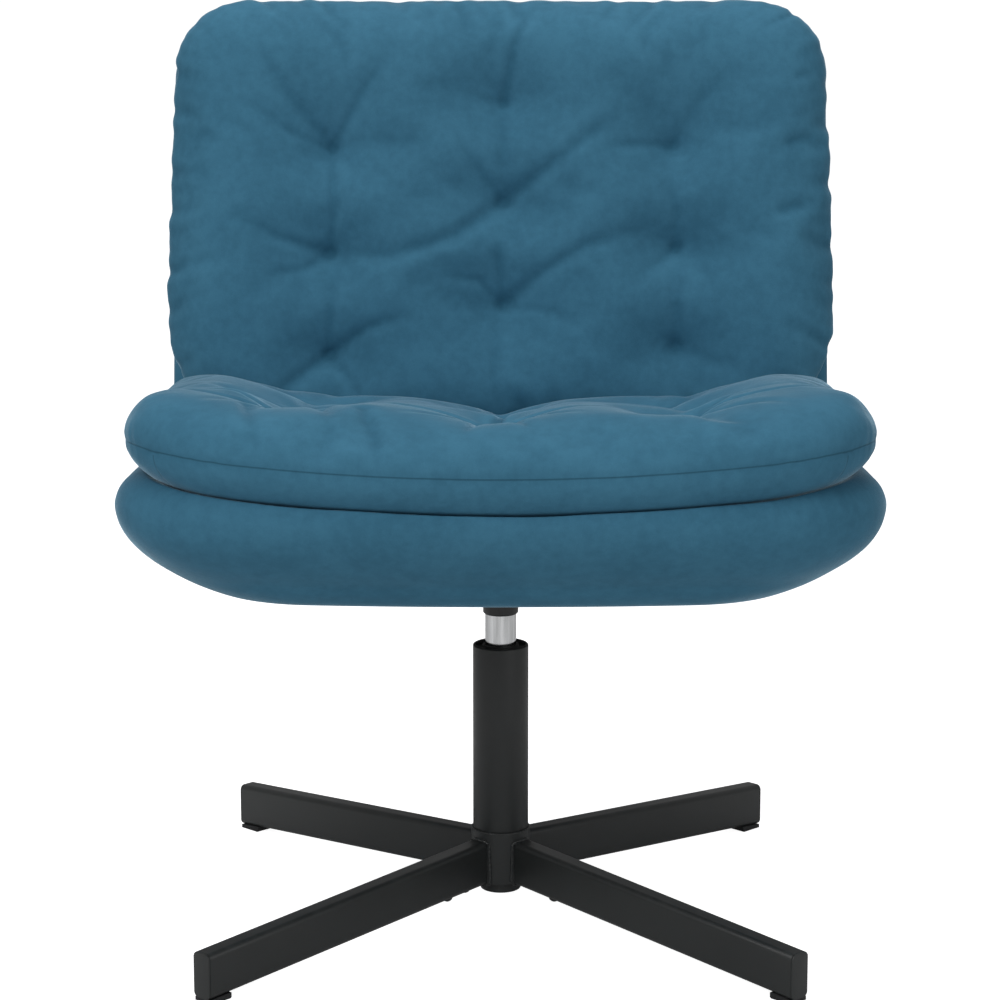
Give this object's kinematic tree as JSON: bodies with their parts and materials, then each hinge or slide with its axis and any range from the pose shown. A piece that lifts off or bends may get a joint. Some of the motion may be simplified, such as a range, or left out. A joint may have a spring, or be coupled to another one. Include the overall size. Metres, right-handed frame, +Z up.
{
  "type": "swivel lounge chair",
  "caption": "Low-backed swivel chair with tufted velvet seat and back pads on an upholstered shell, gas column with release lever and a cross-shaped tube base.",
  "frame": {"origin": "on the floor, on the swivel axis, which is the middle of the outline seen from above", "axes": "+Z up, +Y to the back of the chair, +X to the right of a viewer facing the chair from the front"},
  "size_m": [0.644, 0.6592, 0.8107],
  "materials": {
    "black_powder_coat": "satin",
    "black_plastic": "satin",
    "glide_plastic": "matte",
    "bearing_steel": "polished",
    "cage_brass": "satin",
    "rubber": "matte",
    "bright_chrome": "polished",
    "ground_steel": "polished",
    "piston_aluminium": "satin",
    "zinc_plate": "satin",
    "black_oxide_steel": "satin",
    "strap_steel": "satin",
    "plywood": "matte",
    "dust_cloth": "matte",
    "foam": "matte",
    "blue_velvet": "matte"
  },
  "bodies": {
    "base": {"base_hub": "black_powder_coat", "leg_front_left": "black_powder_coat", "leg_front_right": "black_powder_coat", "leg_rear_left": "black_powder_coat", "leg_rear_right": "black_powder_coat", "leg_end_caps": "black_plastic", "floor_glides": "glide_plastic", "stand_tube": "black_powder_coat", "guide_bush": "black_plastic", "lower_bearing_race": "bearing_steel"},
    "ball_bearing": {"ball_cage": "cage_brass", "bearing_balls": "bearing_steel"},
    "rod_assembly": {"upper_bearing_race": "bearing_steel", "rubber_bumper": "rubber", "piston_rod": "ground_steel", "gas_piston": "piston_aluminium", "piston_seal": "rubber", "rod_washer": "zinc_plate", "rod_clip": "zinc_plate"},
    "pin": {"release_pin": "ground_steel"},
    "lever": {"height_lever": "black_oxide_steel", "lever_grip": "black_plastic"},
    "seat": {"gas_cylinder": "bright_chrome", "rod_guide": "black_plastic", "valve_block": "cage_brass", "taper_socket": "black_powder_coat", "mechanism_channel": "black_powder_coat", "seat_plate": "black_powder_coat", "lever_bracket": "zinc_plate", "lever_pivot_pin": "ground_steel", "seat_bolts": "black_oxide_steel", "seat_bolt_washers": "zinc_plate", "tee_nuts": "zinc_plate", "seat_board": "plywood", "dust_cover": "dust_cloth", "seat_shell_foam": "foam", "seat_shell_cover": "blue_velvet", "seat_pad_foam": "foam", "seat_pad_cover": "blue_velvet", "back_straps": "strap_steel", "strap_screws": "zinc_plate", "back_board": "plywood", "back_shell_foam": "foam", "back_shell_cover": "blue_velvet", "back_pad_foam": "foam", "back_pad_cover": "blue_velvet"}
  },
  "joints": [
    {"name": "swivel", "type": "hinge", "parent": "base", "child": "rod_assembly", "pos_m": [0, 0, 0.0325], "axis": [0, 0, 1], "continuous": true},
    {"name": "bearing_roll", "type": "hinge", "parent": "base", "child": "ball_bearing", "pos_m": [0, 0, 0.03025], "axis": [0, 0, 1], "continuous": true},
    {"name": "seat_height", "type": "slide", "parent": "rod_assembly", "child": "seat", "axis": [0, 0, 1], "range_m": [-0.025, 0.075]},
    {"name": "lever_lift", "type": "hinge", "parent": "seat", "child": "lever", "pos_m": [0.035, 0, 0.3033], "axis": [0, -1, 0], "range_deg": [0, 4.1], "stiffness_Nm_per_rad": 8, "springref_deg": -8.59},
    {"name": "pin_press", "type": "slide", "parent": "seat", "child": "pin", "axis": [0, 0, -1], "range_m": [0, 0.0026]}
  ],
  "couplings": [
    {"joint": "bearing_roll", "follows": "swivel", "ratio": 0.5},
    {"joint": "pin_press", "follows": "lever_lift", "m_per_rad": 0.035}
  ]
}
